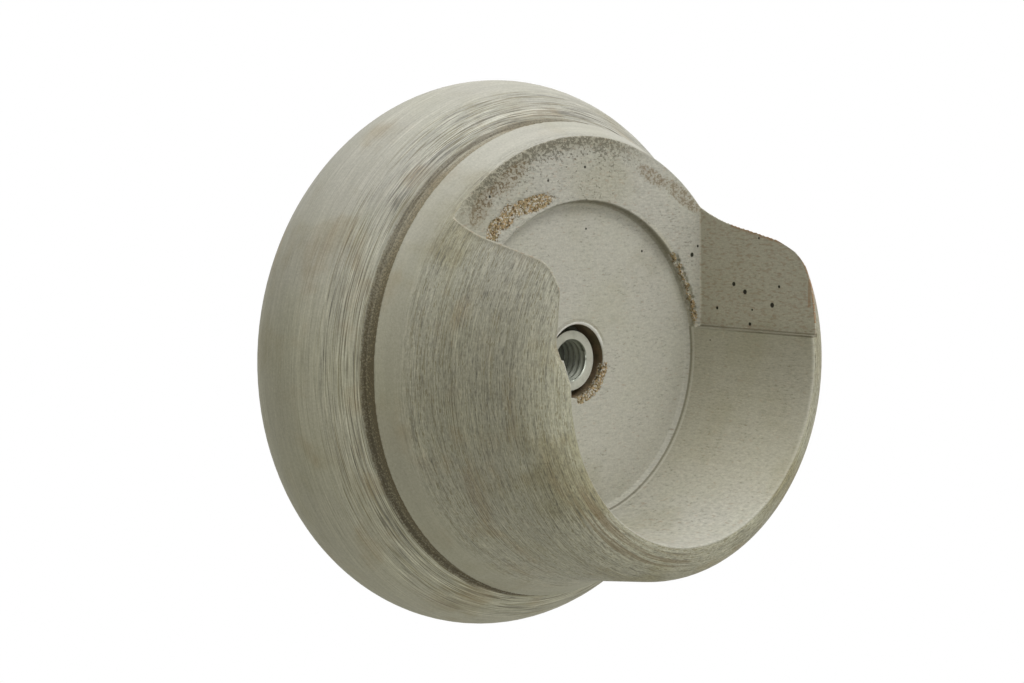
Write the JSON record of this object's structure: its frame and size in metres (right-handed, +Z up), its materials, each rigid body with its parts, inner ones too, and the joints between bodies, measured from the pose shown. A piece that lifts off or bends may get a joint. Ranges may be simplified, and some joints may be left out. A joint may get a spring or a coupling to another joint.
{
  "type": "curtain pole recess bracket",
  "caption": "Turned wooden socket that screws flat to the side wall of a window recess and cradles the end of a round curtain pole, with a slot above so the pole drops in.",
  "frame": {"origin": "centre of the flat wall face, on the turning axis", "axes": "-Y runs out of the wall along the turning axis and the pole; +Z is up, towards the slot; +X is to the right when looking at the wall"},
  "size_m": [0.0916, 0.0586, 0.0916],
  "materials": {
    "painted_wood": "stone grey paint, brushed back along the turning and worn at the edges",
    "insert_metal": "zinc plated steel, its face dulled by overspray"
  },
  "bodies": {
    "root": {"bracket_body": "painted_wood", "threaded_insert": "insert_metal"}
  },
  "joints": []
}
